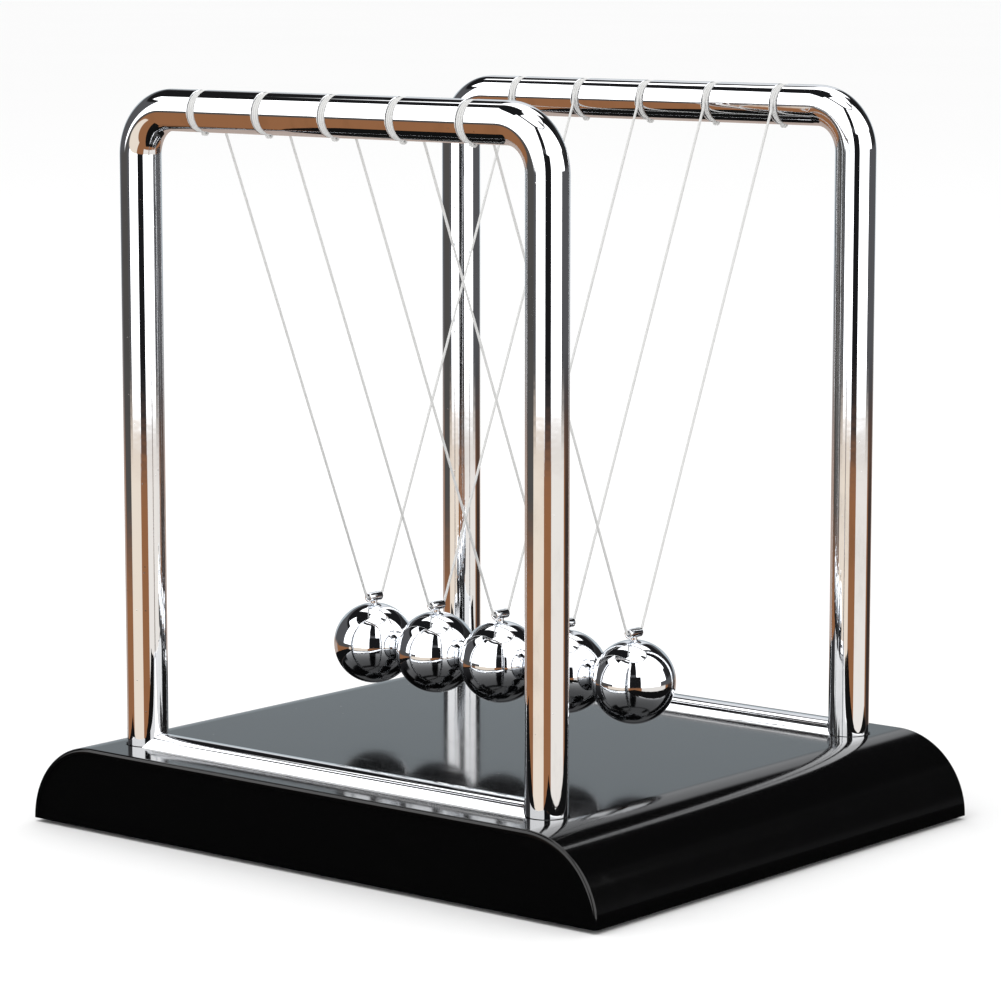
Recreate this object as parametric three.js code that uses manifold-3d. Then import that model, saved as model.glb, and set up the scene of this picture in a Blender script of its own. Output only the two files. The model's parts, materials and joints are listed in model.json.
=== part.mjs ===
// A desk-top Newton's cradle: five steel balls on V-shaped lines between two bent-tube frames.
// Millimetres, +Z up. X runs along the row of balls, Y from the front frame to the back one.
// The origin is on the floor, under the middle of the base.
import * as THREE from "three";
import { mergeVertices } from "three/addons/utils/BufferGeometryUtils.js";
import Module from "manifold-3d";

// ---- Driving dimensions ----
const TOTAL_HEIGHT = 90; // floor to the top of the bars
const BASE_LENGTH = 88; // along X, over the rounded sides
const BASE_DEPTH = 74; // along Y, over the flat ends
const BASE_TOP = 10.3; // height of the flat top above the floor
const BASE_WALL = 2;
const SIDE_RADIUS = 9.8; // quarter-round sides
const LIP_RADIUS = 0.5; // edge round of the flat ends
const RIM_HEIGHT = 0.5; // gap between the floor and the rim of the base

const POST_SPACING = 62.5; // between the two posts of a frame, along X
const FRAME_INSET = 7.25; // from the flat ends of the base to the middle of a frame
const TUBE_DIAMETER = 5;
const TUBE_WALL = 0.8;
const BEND_RADIUS = 5.5; // at the middle of the tube

const BALL_COUNT = 5;
const BALL_DIAMETER = 10.2;
const BALL_GAP = 0.1; // between neighbours at rest
const BALL_OVER_BASE = 4.5; // under the balls, above the flat top

const LINE_DIAMETER = 0.32;
const LINE_TURNS = 3; // wound round the bar in each groove
const GROOVE_MARGIN = 0.12; // on each side of the turns in a groove
const LINE_SINK = 0.03; // how far the turns stay below the skin of the tube
const KNOT_DIAMETER = 0.8;

const HANGER_DIAMETER = 1.15; // the small tube that lies across the top of each ball
const HANGER_LENGTH = 2.3;
const HANGER_BORE = 0.6;
const HANGER_HEIGHT = 0.75; // its middle, above the top of the ball
const PEG_DIAMETER = 0.8; // the hanger's stem
const PEG_LENGTH = 2; // inside the ball

const SILL_DIAMETER = 5; // the rod that lies half sunk between two posts
const SILL_SINK = 1; // its middle, below the flat top

const BOSS_WALL = 1.6;
const SEAT_THICKNESS = 1.4; // plastic between the end of a post and its washer
const INSERT_LENGTH = 6; // threaded bush inside the end of a post
const POST_SCREW_DIAMETER = 2;
const POST_SCREW_LENGTH = 7;
const POST_SCREW_HEAD_DIAMETER = 3.8;
const POST_SCREW_HEAD_HEIGHT = 1.1;
const WASHER_DIAMETER = 5.2;
const WASHER_THICKNESS = 0.4;

const COVER_THICKNESS = 1.6;
const COVER_RECESS = 0.2; // above the rim of the base
const COVER_SCREW_DIAMETER = 1.5;
const COVER_SCREW_LENGTH = 4;
const COVER_SCREW_HEAD_DIAMETER = 3;
const COVER_SCREW_HEAD_HEIGHT = 0.8;
const COVER_SCREW_INSET = 7.5; // from the long ends of the base
const COVER_SCREW_SPREAD = 24; // between two screws, along Y
const FOOT_DIAMETER = 8;
const FOOT_INSET = 12; // from the edges of the base, both ways

// ---- Clearances ----
const POST_CLEARANCE = 0.15; // round a post in its hole
const SILL_CLEARANCE = 0.12; // round a sill rod
const COVER_CLEARANCE = 0.25; // round the bottom cover
const FIT = 0.05; // pushed, screwed or bonded pieces
const SCREW_CLEARANCE = 0.15; // round a screw in a plain hole
const PIVOT_CLEARANCE = 0.2; // between a line and its bar where the line starts to swing
const LINE_GAP = 0.3; // between the fixed and the swinging stretch of a line

// ---- Worked-out dimensions ----
const frameSpacing = BASE_DEPTH - 2 * FRAME_INSET;
const tubeRadius = TUBE_DIAMETER / 2;
const boreRadius = tubeRadius - TUBE_WALL;
const lineRadius = LINE_DIAMETER / 2;
const barHeight = TOTAL_HEIGHT - tubeRadius;
const ballRadius = BALL_DIAMETER / 2;
const ballPitch = BALL_DIAMETER + BALL_GAP;
const ballHeight = BASE_TOP + BALL_OVER_BASE + ballRadius;
const hangerHeight = ballHeight + ballRadius + HANGER_HEIGHT;
const coverBottom = RIM_HEIGHT + COVER_RECESS;
const coverTop = coverBottom + COVER_THICKNESS;
const screwHeadBottom = coverTop + FIT;
const screwHeadTop = screwHeadBottom + POST_SCREW_HEAD_HEIGHT;
const washerBottom = screwHeadTop + FIT;
const bossBottom = washerBottom + WASHER_THICKNESS + FIT;
const postSeat = bossBottom + SEAT_THICKNESS;
const postEnd = postSeat + FIT;
const sillHeight = BASE_TOP - SILL_SINK;
const windHalfWidth = (LINE_TURNS * LINE_DIAMETER) / 2;
const grooveHalfWidth = windHalfWidth + GROOVE_MARGIN;
const windRadius = tubeRadius - LINE_SINK - lineRadius;
const grooveRadius = windRadius - lineRadius - FIT;
const ROUND = 16; // sides of tubes, rods and their holes
const MIDDLE_ROUND = 12; // sides of screws, washers and hangers
const SMALL_ROUND = 8; // sides of lines and small holes
const OVERRUN = 2; // how far a cutting shape runs past what it cuts

const wasm = await Module();
wasm.setup();

// ---- Solids from geometries and back ----
function solidFrom(geometry) {
  const bare = geometry.clone();
  bare.deleteAttribute("normal");
  bare.deleteAttribute("uv");
  const merged = mergeVertices(bare, 1e-4);
  return new wasm.Manifold(
    new wasm.Mesh({
      numProp: 3,
      vertProperties: new Float32Array(merged.attributes.position.array),
      triVerts: new Uint32Array(merged.index.array),
    }),
  );
}

function geometryFrom(solid) {
  const mesh = solid.getMesh();
  const geometry = new THREE.BufferGeometry();
  geometry.setAttribute("position", new THREE.BufferAttribute(mesh.vertProperties, mesh.numProp));
  geometry.setIndex(new THREE.BufferAttribute(mesh.triVerts, 1));
  const flat = geometry.toNonIndexed();
  flat.computeVertexNormals();
  return flat;
}

// The first geometry joined with the others.
function join(first, ...others) {
  return geometryFrom(others.reduce((sum, g) => sum.add(solidFrom(g)), solidFrom(first)));
}

// The first geometry with the others cut away.
function cut(first, ...others) {
  return geometryFrom(others.reduce((rest, g) => rest.subtract(solidFrom(g)), solidFrom(first)));
}

function common(first, second) {
  return geometryFrom(solidFrom(first).intersect(solidFrom(second)));
}

// ---- Shapes that many pieces use ----

// A solid of revolution about Z, from [radius, height] pairs that run upwards on the outside.
function turned(profile, sides = ROUND) {
  const points = profile.map(([radius, height]) => new THREE.Vector2(radius, height));
  return new THREE.LatheGeometry(points, sides).rotateX(Math.PI / 2);
}

function disc(radius, bottom, top, sides = ROUND) {
  return turned([[0, bottom], [radius, bottom], [radius, top], [0, top]], sides);
}

function ring(inner, outer, bottom, top, sides = ROUND) {
  return turned([[inner, bottom], [outer, bottom], [outer, top], [inner, top], [inner, bottom]], sides);
}

function block(width, depth, bottom, top) {
  return new THREE.BoxGeometry(width, depth, top - bottom).translate(0, 0, (top + bottom) / 2);
}

// A turned shape laid along X.
function alongX(geometry) {
  return geometry.rotateY(Math.PI / 2);
}

// A straight stretch of line between two points.
function strand(from, to, radius = lineRadius, sides = SMALL_ROUND) {
  const way = new THREE.Vector3().subVectors(to, from);
  const turn = new THREE.Quaternion().setFromUnitVectors(
    new THREE.Vector3(0, 1, 0),
    way.clone().normalize(),
  );
  const middle = new THREE.Vector3().addVectors(from, to).multiplyScalar(0.5);
  return new THREE.CylinderGeometry(radius, radius, way.length(), sides)
    .applyQuaternion(turn)
    .translate(middle.x, middle.y, middle.z);
}

function bead(at, radius, detail = 0) {
  return new THREE.IcosahedronGeometry(radius, detail).translate(at.x, at.y, at.z);
}

// A cheese head with a cross recess, its shank pointing up from the head.
function screw(headRadius, headHeight, shankRadius, shankLength) {
  const profile = [
    [0, 0],
    [headRadius, 0],
    [headRadius, headHeight],
    [shankRadius, headHeight],
    [shankRadius, headHeight + shankLength - shankRadius],
    [shankRadius / 3, headHeight + shankLength],
    [0, headHeight + shankLength],
  ];
  const body = turned(profile, MIDDLE_ROUND);
  const slotWidth = headRadius / 4;
  const slotLength = headRadius * 1.2;
  const slotDepth = headHeight / 2;
  return cut(
    body,
    block(slotWidth, slotLength, -OVERRUN, slotDepth),
    block(slotLength, slotWidth, -OVERRUN, slotDepth),
  );
}

const materials = {
  chrome: { color: 0xd9dbdd, roughness: 0.05, metalness: 1 },
  steel: { color: 0xb7babd, roughness: 0.3, metalness: 1 },
  brass: { color: 0xb5924c, roughness: 0.35, metalness: 1 },
  gloss: { color: 0x08090a, roughness: 0.08, metalness: 0 },
  matte: { color: 0x141516, roughness: 0.6, metalness: 0 },
  rubber: { color: 0x1b1b1c, roughness: 0.9, metalness: 0 },
  line: { color: 0xdfe0dd, roughness: 0.2, metalness: 0 },
};

function piece(name, geometry, material) {
  const mesh = new THREE.Mesh(geometry, new THREE.MeshStandardMaterial(materials[material]));
  mesh.name = name;
  return mesh;
}

// The four corners that posts, screws and feet stand at, with the words that name them.
function corners(x, y) {
  return [
    { name: "front_left", x: -x, y: -y },
    { name: "front_right", x, y: -y },
    { name: "back_left", x: -x, y },
    { name: "back_right", x, y },
  ];
}

const postCorners = corners(POST_SPACING / 2, frameSpacing / 2);
const coverScrewCorners = corners(BASE_LENGTH / 2 - COVER_SCREW_INSET, COVER_SCREW_SPREAD / 2);
const footCorners = corners(BASE_LENGTH / 2 - FOOT_INSET, BASE_DEPTH / 2 - FOOT_INSET);

// ---- Base ----

// The base's section: a flat top that falls to the rim in two quarter rounds, run on below the rim.
function baseSection(inset) {
  const half = BASE_LENGTH / 2 - inset;
  const radius = SIDE_RADIUS - inset;
  const springing = BASE_TOP - SIDE_RADIUS;
  const below = Math.min(springing, RIM_HEIGHT) - OVERRUN;
  const section = new THREE.Shape();
  section.moveTo(-half, below);
  section.lineTo(half, below);
  section.absarc(half - radius, springing, radius, 0, Math.PI / 2);
  section.absarc(radius - half, springing, radius, Math.PI / 2, Math.PI);
  return section;
}

function baseBody() {
  const bevel = {
    bevelEnabled: true,
    bevelThickness: LIP_RADIUS,
    bevelSize: LIP_RADIUS,
    bevelOffset: -LIP_RADIUS,
    bevelSegments: 2,
  };
  const depth = BASE_DEPTH - 2 * LIP_RADIUS;
  const body = new THREE.ExtrudeGeometry(baseSection(0), { depth, curveSegments: 10, ...bevel })
    .rotateX(Math.PI / 2)
    .translate(0, depth / 2, 0);
  return cut(body, block(2 * BASE_LENGTH, 2 * BASE_DEPTH, -BASE_TOP, RIM_HEIGHT));
}

function baseHollow() {
  const depth = BASE_DEPTH - 2 * BASE_WALL;
  return new THREE.ExtrudeGeometry(baseSection(BASE_WALL), {
    depth,
    curveSegments: 8,
    bevelEnabled: false,
  })
    .rotateX(Math.PI / 2)
    .translate(0, depth / 2, 0);
}

// The ribs under the flat top that the sill rods lie in.
function sillRibs() {
  const width = SILL_DIAMETER + 2 * SILL_CLEARANCE + 2 * BOSS_WALL;
  const bottom = sillHeight - SILL_DIAMETER / 2 - SILL_CLEARANCE - BOSS_WALL;
  return [-1, 1].map((side) =>
    block(POST_SPACING, width, bottom, BASE_TOP - BASE_WALL / 2).translate(
      0,
      (side * frameSpacing) / 2,
      0,
    ),
  );
}

function baseShell() {
  const postHole = tubeRadius + POST_CLEARANCE;
  const body = baseBody();
  const inside = join(
    ...sillRibs(),
    ...postCorners.map(({ x, y }) =>
      disc(postHole + BOSS_WALL, bossBottom, BASE_TOP - BASE_WALL / 2).translate(x, y, 0),
    ),
    ...coverScrewCorners.map(({ x, y }) =>
      disc(COVER_SCREW_DIAMETER / 2 + BOSS_WALL, coverTop + FIT, BASE_TOP).translate(x, y, 0),
    ),
  );
  const shell = join(cut(body, baseHollow()), common(inside, body));
  const channel = SILL_DIAMETER / 2 + SILL_CLEARANCE;
  const screwTop = coverTop + FIT + COVER_SCREW_LENGTH;
  return cut(
    shell,
    ...postCorners.flatMap(({ x, y }) => [
      disc(postHole, postSeat, TOTAL_HEIGHT).translate(x, y, 0),
      disc(POST_SCREW_DIAMETER / 2 + SCREW_CLEARANCE, 0, TOTAL_HEIGHT).translate(x, y, 0),
    ]),
    ...[-1, 1].map((side) =>
      alongX(disc(channel, -POST_SPACING / 2, POST_SPACING / 2)).translate(
        0,
        (side * frameSpacing) / 2,
        sillHeight,
      ),
    ),
    ...coverScrewCorners.map(({ x, y }) =>
      disc(COVER_SCREW_DIAMETER / 2 + FIT, 0, screwTop).translate(x, y, 0),
    ),
  );
}

function baseCover() {
  const width = BASE_LENGTH - 2 * (BASE_WALL + COVER_CLEARANCE);
  const depth = BASE_DEPTH - 2 * (BASE_WALL + COVER_CLEARANCE);
  const headHole = COVER_SCREW_HEAD_DIAMETER / 2 + SCREW_CLEARANCE;
  const shankHole = COVER_SCREW_DIAMETER / 2 + SCREW_CLEARANCE;
  const headSeat = coverBottom + COVER_SCREW_HEAD_HEIGHT + FIT;
  return cut(
    common(
      block(width, depth, coverBottom, coverTop),
      baseHollow().translate(0, 0, -COVER_CLEARANCE),
    ),
    ...coverScrewCorners.flatMap(({ x, y }) => [
      disc(headHole, 0, headSeat).translate(x, y, 0),
      disc(shankHole, 0, TOTAL_HEIGHT).translate(x, y, 0),
    ]),
  );
}

function makeBase() {
  const base = new THREE.Group();
  base.add(piece("base_shell", baseShell(), "gloss"));
  base.add(piece("base_cover", baseCover(), "matte"));
  for (const { name, x, y } of footCorners) {
    const foot = piece("foot_" + name, disc(FOOT_DIAMETER / 2, 0, coverBottom - FIT), "rubber");
    foot.position.set(x, y, 0);
    base.add(foot);
  }
  for (const { name, x, y } of coverScrewCorners) {
    const shape = screw(
      COVER_SCREW_HEAD_DIAMETER / 2,
      COVER_SCREW_HEAD_HEIGHT,
      COVER_SCREW_DIAMETER / 2,
      COVER_SCREW_LENGTH,
    );
    const coverScrew = piece("cover_screw_" + name, shape, "steel");
    coverScrew.position.set(x, y, coverBottom);
    base.add(coverScrew);
  }
  return base;
}

// ---- Frames ----

// A path through chosen stations, one step from each to the next.
class StationPath extends THREE.Curve {
  constructor(stations) {
    super();
    this.stations = stations;
  }

  getPoint(t, target = new THREE.Vector3()) {
    const place = Math.min(Math.max(t, 0), 1) * (this.stations.length - 1);
    const index = Math.min(Math.floor(place), this.stations.length - 2);
    return target.lerpVectors(this.stations[index], this.stations[index + 1], place - index);
  }

  getUtoTmapping(u) {
    return u;
  }
}

function frameStations() {
  const bendSteps = 7;
  const centreX = POST_SPACING / 2 - BEND_RADIUS;
  const centreZ = barHeight - BEND_RADIUS;
  const half = [new THREE.Vector3(POST_SPACING / 2, 0, postEnd)];
  for (let step = 0; step <= bendSteps; step++) {
    const angle = ((step / bendSteps) * Math.PI) / 2;
    half.push(
      new THREE.Vector3(
        centreX + BEND_RADIUS * Math.cos(angle),
        0,
        centreZ + BEND_RADIUS * Math.sin(angle),
      ),
    );
  }
  const mirrored = half.map((p) => new THREE.Vector3(-p.x, p.y, p.z)).reverse();
  return [...half, ...mirrored];
}

function circle(radius, sides, Kind = THREE.Shape) {
  const outline = new Kind();
  for (let side = 0; side < sides; side++) {
    const angle = (2 * Math.PI * side) / sides;
    const place = [radius * Math.cos(angle), radius * Math.sin(angle)];
    if (side === 0) outline.moveTo(...place);
    else outline.lineTo(...place);
  }
  outline.closePath();
  return outline;
}

function bentTube() {
  const section = circle(tubeRadius, ROUND);
  section.holes.push(circle(boreRadius, ROUND, THREE.Path));
  const stations = frameStations();
  return new THREE.ExtrudeGeometry(section, {
    extrudePath: new StationPath(stations),
    steps: stations.length - 1,
    bevelEnabled: false,
  });
}

function ballPlaces() {
  return Array.from({ length: BALL_COUNT }, (_, index) => ({
    number: index + 1,
    x: (index - (BALL_COUNT - 1) / 2) * ballPitch,
  }));
}

function frameTube() {
  const grooves = ballPlaces().map(({ x }) =>
    alongX(
      ring(grooveRadius, tubeRadius + OVERRUN, -grooveHalfWidth, grooveHalfWidth),
    ).translate(x, 0, barHeight),
  );
  return cut(bentTube(), ...grooves);
}

// A rod between two posts, coped at both ends to fit round them.
function sillRod() {
  const rod = alongX(disc(SILL_DIAMETER / 2, -POST_SPACING / 2, POST_SPACING / 2));
  const posts = [-1, 1].map((side) =>
    disc(tubeRadius + SILL_CLEARANCE, -SILL_DIAMETER, SILL_DIAMETER).translate(
      (side * POST_SPACING) / 2,
      0,
      0,
    ),
  );
  return cut(rod, ...posts);
}

function makeFrame(name, side) {
  const frame = new THREE.Group();
  frame.position.y = (side * frameSpacing) / 2;
  frame.add(piece("frame_" + name, frameTube(), "chrome"));
  const sill = piece("sill_rod_" + name, sillRod(), "chrome");
  sill.position.z = sillHeight;
  frame.add(sill);
  return frame;
}

// The bush, washer and screw that hold the end of each post.
function makeFixings() {
  const fixings = new THREE.Group();
  const threadRadius = POST_SCREW_DIAMETER / 2;
  for (const { name, x, y } of postCorners) {
    const corner = new THREE.Group();
    corner.position.set(x, y, 0);
    const bush = ring(
      threadRadius + FIT,
      boreRadius - FIT,
      postEnd,
      postEnd + INSERT_LENGTH,
      MIDDLE_ROUND,
    );
    const washer = ring(
      threadRadius + SCREW_CLEARANCE,
      WASHER_DIAMETER / 2,
      washerBottom,
      washerBottom + WASHER_THICKNESS,
      MIDDLE_ROUND,
    );
    const postScrew = piece(
      "post_screw_" + name,
      screw(
        POST_SCREW_HEAD_DIAMETER / 2,
        POST_SCREW_HEAD_HEIGHT,
        threadRadius,
        POST_SCREW_LENGTH,
      ),
      "steel",
    );
    postScrew.position.z = screwHeadBottom;
    corner.add(piece("post_bush_" + name, bush, "brass"));
    corner.add(piece("post_washer_" + name, washer, "steel"));
    corner.add(postScrew);
    fixings.add(corner);
  }
  return fixings;
}

// ---- Balls and lines ----

// In the plane across a bar: where the line leaves its turns, where it starts to swing, and where
// it turns into the hanger's bore. The front bar's side; the back one mirrors it.
function linePlaces() {
  const bar = new THREE.Vector3(0, -frameSpacing / 2, barHeight);
  const mouth = new THREE.Vector3(0, -(HANGER_LENGTH / 2 + lineRadius + FIT), hangerHeight);
  const reach = new THREE.Vector3().subVectors(mouth, bar);
  const angle = Math.atan2(reach.z, reach.y) + Math.acos(windRadius / reach.length());
  const leaving = new THREE.Vector3(
    0,
    bar.y + windRadius * Math.cos(angle),
    bar.z + windRadius * Math.sin(angle),
  );
  const along = new THREE.Vector3().subVectors(mouth, leaving).normalize();
  const clearOfBar = tubeRadius + lineRadius + PIVOT_CLEARANCE;
  const pivot = leaving
    .clone()
    .addScaledVector(along, Math.sqrt(clearOfBar ** 2 - windRadius ** 2));
  return { bar, mouth, leaving, along, pivot };
}

const places = linePlaces();

// The turns round the bar, the knot under it and the short tail down to where the line can swing.
function lineEnd() {
  const { bar, leaving, along, pivot } = places;
  const turns = alongX(
    ring(windRadius - lineRadius, windRadius + lineRadius, -windHalfWidth, windHalfWidth),
  ).translate(bar.x, bar.y, bar.z);
  const tailEnd = pivot.clone().addScaledVector(along, -LINE_GAP / 2);
  const knotPlace = new THREE.Vector3(
    bar.x,
    bar.y,
    bar.z - windRadius - (KNOT_DIAMETER - LINE_DIAMETER) / 2,
  );
  return join(turns, strand(leaving, tailEnd), bead(knotPlace, KNOT_DIAMETER / 2, 1));
}

// The V of line that swings: down from the front, through the hanger and up to the back.
function swingingLine() {
  const { mouth, along, pivot } = places;
  const top = pivot.clone().addScaledVector(along, LINE_GAP / 2);
  const back = (point) => new THREE.Vector3(point.x, -point.y, point.z);
  return join(
    strand(top, mouth),
    bead(mouth, lineRadius),
    strand(mouth, back(mouth)),
    bead(back(mouth), lineRadius),
    strand(back(mouth), back(top)),
  );
}

function ball() {
  const rings = 9;
  const socket = PEG_DIAMETER / 2 + FIT;
  const profile = [];
  const topAngle = Math.acos(socket / ballRadius);
  for (let step = 0; step <= rings; step++) {
    const angle = -Math.PI / 2 + (step / rings) * (topAngle + Math.PI / 2);
    profile.push([ballRadius * Math.cos(angle), ballRadius * Math.sin(angle)]);
  }
  profile[0][0] = 0;
  const socketBottom = ballRadius - PEG_LENGTH - 2 * FIT;
  return turned([...profile, [socket, socketBottom], [0, socketBottom]]);
}

// A tube along Y for the line, on a stem that is pushed into the ball.
function hanger() {
  const end = (y) => new THREE.Vector3(0, y, HANGER_HEIGHT);
  const half = HANGER_LENGTH / 2;
  const tube = strand(end(-half), end(half), HANGER_DIAMETER / 2, MIDDLE_ROUND);
  const stem = turned(
    [
      [0, -PEG_LENGTH],
      [PEG_DIAMETER / 2, -PEG_LENGTH],
      [PEG_DIAMETER / 2, HANGER_HEIGHT],
      [0, HANGER_HEIGHT],
    ],
    MIDDLE_ROUND,
  );
  const bore = strand(end(-HANGER_LENGTH), end(HANGER_LENGTH), HANGER_BORE / 2);
  return cut(join(tube, stem), bore);
}

function makePendulum({ number, x }) {
  const pendulum = new THREE.Group();
  pendulum.position.x = x;
  const sphere = piece("ball_" + number, ball(), "chrome");
  sphere.position.z = ballHeight;
  const head = piece("ball_hanger_" + number, hanger(), "chrome");
  head.position.z = ballHeight + ballRadius;
  pendulum.add(sphere, head, piece("line_" + number, swingingLine(), "line"));
  return pendulum;
}

function makeLineEnds({ number, x }) {
  const pair = new THREE.Group();
  pair.position.x = x;
  const front = piece("line_end_front_" + number, lineEnd(), "line");
  const back = piece("line_end_back_" + number, lineEnd(), "line");
  back.rotation.z = Math.PI;
  pair.add(front, back);
  return pair;
}

// ---- Assembly ----
const cradle = new THREE.Group();
cradle.add(makeBase(), makeFrame("front", -1), makeFrame("back", 1), makeFixings());
for (const place of ballPlaces()) cradle.add(makePendulum(place), makeLineEnds(place));

export default cradle;
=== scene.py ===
"""The finish of a desk-top Newton's cradle, made round its packed frame.

Laid out as an add-on: sizes and colours in property groups, one operator for each group of like
pieces and one for the studio, and a panel that lists them. Lengths are metres, +Z is up, X runs along
the row of balls and Y from the front frame to the back one.
"""
import json
import math

import bmesh
import bpy
from bpy.props import FloatProperty, FloatVectorProperty, IntProperty, PointerProperty
from mathutils import Matrix, Vector


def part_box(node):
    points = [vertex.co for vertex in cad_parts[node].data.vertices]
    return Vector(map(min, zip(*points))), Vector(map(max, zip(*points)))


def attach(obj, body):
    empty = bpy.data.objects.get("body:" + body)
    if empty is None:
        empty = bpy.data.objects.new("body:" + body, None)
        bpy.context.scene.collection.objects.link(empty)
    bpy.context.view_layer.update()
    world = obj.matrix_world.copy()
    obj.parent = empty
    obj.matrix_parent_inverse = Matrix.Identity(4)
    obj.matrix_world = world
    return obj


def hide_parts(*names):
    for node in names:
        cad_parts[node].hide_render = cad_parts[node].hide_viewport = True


bl_info = {
    "name": "Newton's Cradle Finish",
    "version": (1, 0, 0),
    "blender": (4, 5, 0),
    "location": "3D View > Sidebar > Cradle",
    "description": "Smooth, finished pieces for a desk-top Newton's cradle and the studio it stands in",
    "category": "Add Mesh",
}

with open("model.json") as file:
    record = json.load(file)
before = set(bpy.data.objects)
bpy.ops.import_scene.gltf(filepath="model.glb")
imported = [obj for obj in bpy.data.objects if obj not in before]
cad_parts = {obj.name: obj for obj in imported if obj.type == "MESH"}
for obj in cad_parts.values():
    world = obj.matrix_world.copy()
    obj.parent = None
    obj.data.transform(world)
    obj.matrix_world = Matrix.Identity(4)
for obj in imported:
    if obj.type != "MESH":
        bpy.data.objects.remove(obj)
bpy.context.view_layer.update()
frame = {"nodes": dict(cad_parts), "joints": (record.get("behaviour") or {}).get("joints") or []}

MM = 0.001
HAIR_GAP = 0.05 * MM  # between pieces that only just clear each other
COPE_GAP = 0.12 * MM  # between a post and the hollowed end of a sill rod
WOUND_BEAD = 1.08  # the melted ends of a line, as shares of its diameter
HUNG_BEAD = 1.04  # the same for the part that swings
SIDES = ("front", "back")
CORNERS = ("front_left", "front_right", "back_left", "back_right")
BALLS = [name for name in sorted(frame["nodes"]) if name.startswith("ball_") and name[5:].isdigit()]
NUMBERS = [name[5:] for name in BALLS]


# ---- Measures taken from the frame ----

def span(node, axis):
    """How long a node of the frame is along one axis."""
    low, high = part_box(node)
    return high[axis] - low[axis]


def middle(node):
    """The middle of a node of the frame."""
    low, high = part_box(node)
    return (low + high) / 2


def pivot_height(number):
    """The height of the axis that a ball's line swings about."""
    joint = next(j for j in frame["joints"] if j["name"] == f"ball_{number}_swing")
    return Vector(joint["pos_m"]).z


TUBE_DIAMETER = span("frame_front", 1)
POST_APART = span("frame_front", 0) - TUBE_DIAMETER
FRAMES_APART = middle("frame_back").y - middle("frame_front").y
BAR_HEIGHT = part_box("frame_front")[1].z - TUBE_DIAMETER / 2
POST_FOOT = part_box("frame_front")[0].z
BASE_LOW, BASE_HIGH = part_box("base_shell")
BALL_DIAMETER = span("ball_1", 0)
BALL_PITCH = middle("ball_2").x - middle("ball_1").x
HANGER_LOW, HANGER_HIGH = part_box("ball_hanger_1")
HANGER_DIAMETER = span("ball_hanger_1", 0)
HANGER_LENGTH = span("ball_hanger_1", 1)
HANGER_HEIGHT = HANGER_HIGH.z - HANGER_DIAMETER / 2


# ---- Sizes and colours that can be changed ----

def length(name, description, default):
    """A length that shows in the sidebar."""
    return FloatProperty(
        name=name, description=description, default=default, min=0.0, precision=5, unit="LENGTH"
    )


def angle(name, description, degrees):
    """An angle that shows in the sidebar."""
    return FloatProperty(name=name, description=description, default=math.radians(degrees), unit="ROTATION")


def colour(name, description, default):
    """A colour that shows in the sidebar."""
    return FloatVectorProperty(
        name=name, description=description, default=default, size=3, min=0.0, max=1.0, subtype="COLOR"
    )


class CradleBaseSizes(bpy.types.PropertyGroup):
    """Sizes of the moulded base and what is fixed under it"""

    side_radius: length("Side Radius", "Radius of the quarter-round sides", 9.8 * MM)
    wall: length("Wall", "Thickness of the moulding", 2.0 * MM)
    lip_radius: length("Lip Radius", "Round along the edges of the flat ends", 0.4 * MM)
    lip_width: length("Lip Width", "Width of the rim round the flat ends", 0.35 * MM)
    lip_step: length("Lip Step", "How far the flat ends lie behind their rim", 0.18 * MM)
    post_gap: length("Post Gap", "Gap round a post in its hole", 0.15 * MM)
    sill_gap: length("Sill Gap", "Gap round a sill rod in its channel", 0.12 * MM)
    mouth: length("Mouth", "Chamfer at the mouth of a post hole", 0.12 * MM)
    boss_wall: length("Boss Wall", "Wall of the bosses and ribs inside", 1.6 * MM)
    screw_hole: length("Screw Hole", "Diameter of the hole a post screw passes through", 2.3 * MM)
    pilot_hole: length("Pilot Hole", "Diameter of the hole a cover screw bites into", 1.6 * MM)


class CradleFrameSizes(bpy.types.PropertyGroup):
    """Sizes of the bent tubes and the sill rods"""

    tube_wall: length("Tube Wall", "Wall of the frame tube", 0.8 * MM)
    bend_radius: length("Bend Radius", "Radius of the bends at the middle of the tube", 5.5 * MM)
    groove_width: length("Groove Width", "Width of the groove that a line is wound in", 1.2 * MM)
    groove_depth: length("Groove Depth", "Depth of the groove that a line is wound in", 0.4 * MM)
    groove_edge: length("Groove Edge", "Round at the edges of a groove", 0.06 * MM)


class CradleBallSizes(bpy.types.PropertyGroup):
    """Sizes of the small tube and its stem on each ball"""

    bore: length("Bore", "Diameter of the small tube's bore", 0.6 * MM)
    rim: length("Rim", "Round at the ends of the small tube", 0.1 * MM)
    stem: length("Stem", "Diameter of the stem between tube and ball", 0.8 * MM)
    seat: length("Seat", "Width of the countersink that the stem stands in", 0.14 * MM)


class CradleLineSizes(bpy.types.PropertyGroup):
    """Sizes of the balls' lines"""

    diameter: length("Line Diameter", "Thickness of the line", 0.32 * MM)
    rise: length("Rise", "How far the middle of a wound line is above the floor of its groove", 0.21 * MM)
    pitch: length("Winding Pitch", "From one turn to the next, along the bar", 0.325 * MM)
    knot_radius: length("Knot Radius", "Radius that the knot's own turns are wound to", 0.2 * MM)
    mouth_gap: length("Mouth Gap", "From a hanger's end to where the line bends into its bore", 0.21 * MM)
    turns: IntProperty(name="Turns", description="Whole turns round the bar", default=2, min=1, max=6)


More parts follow.
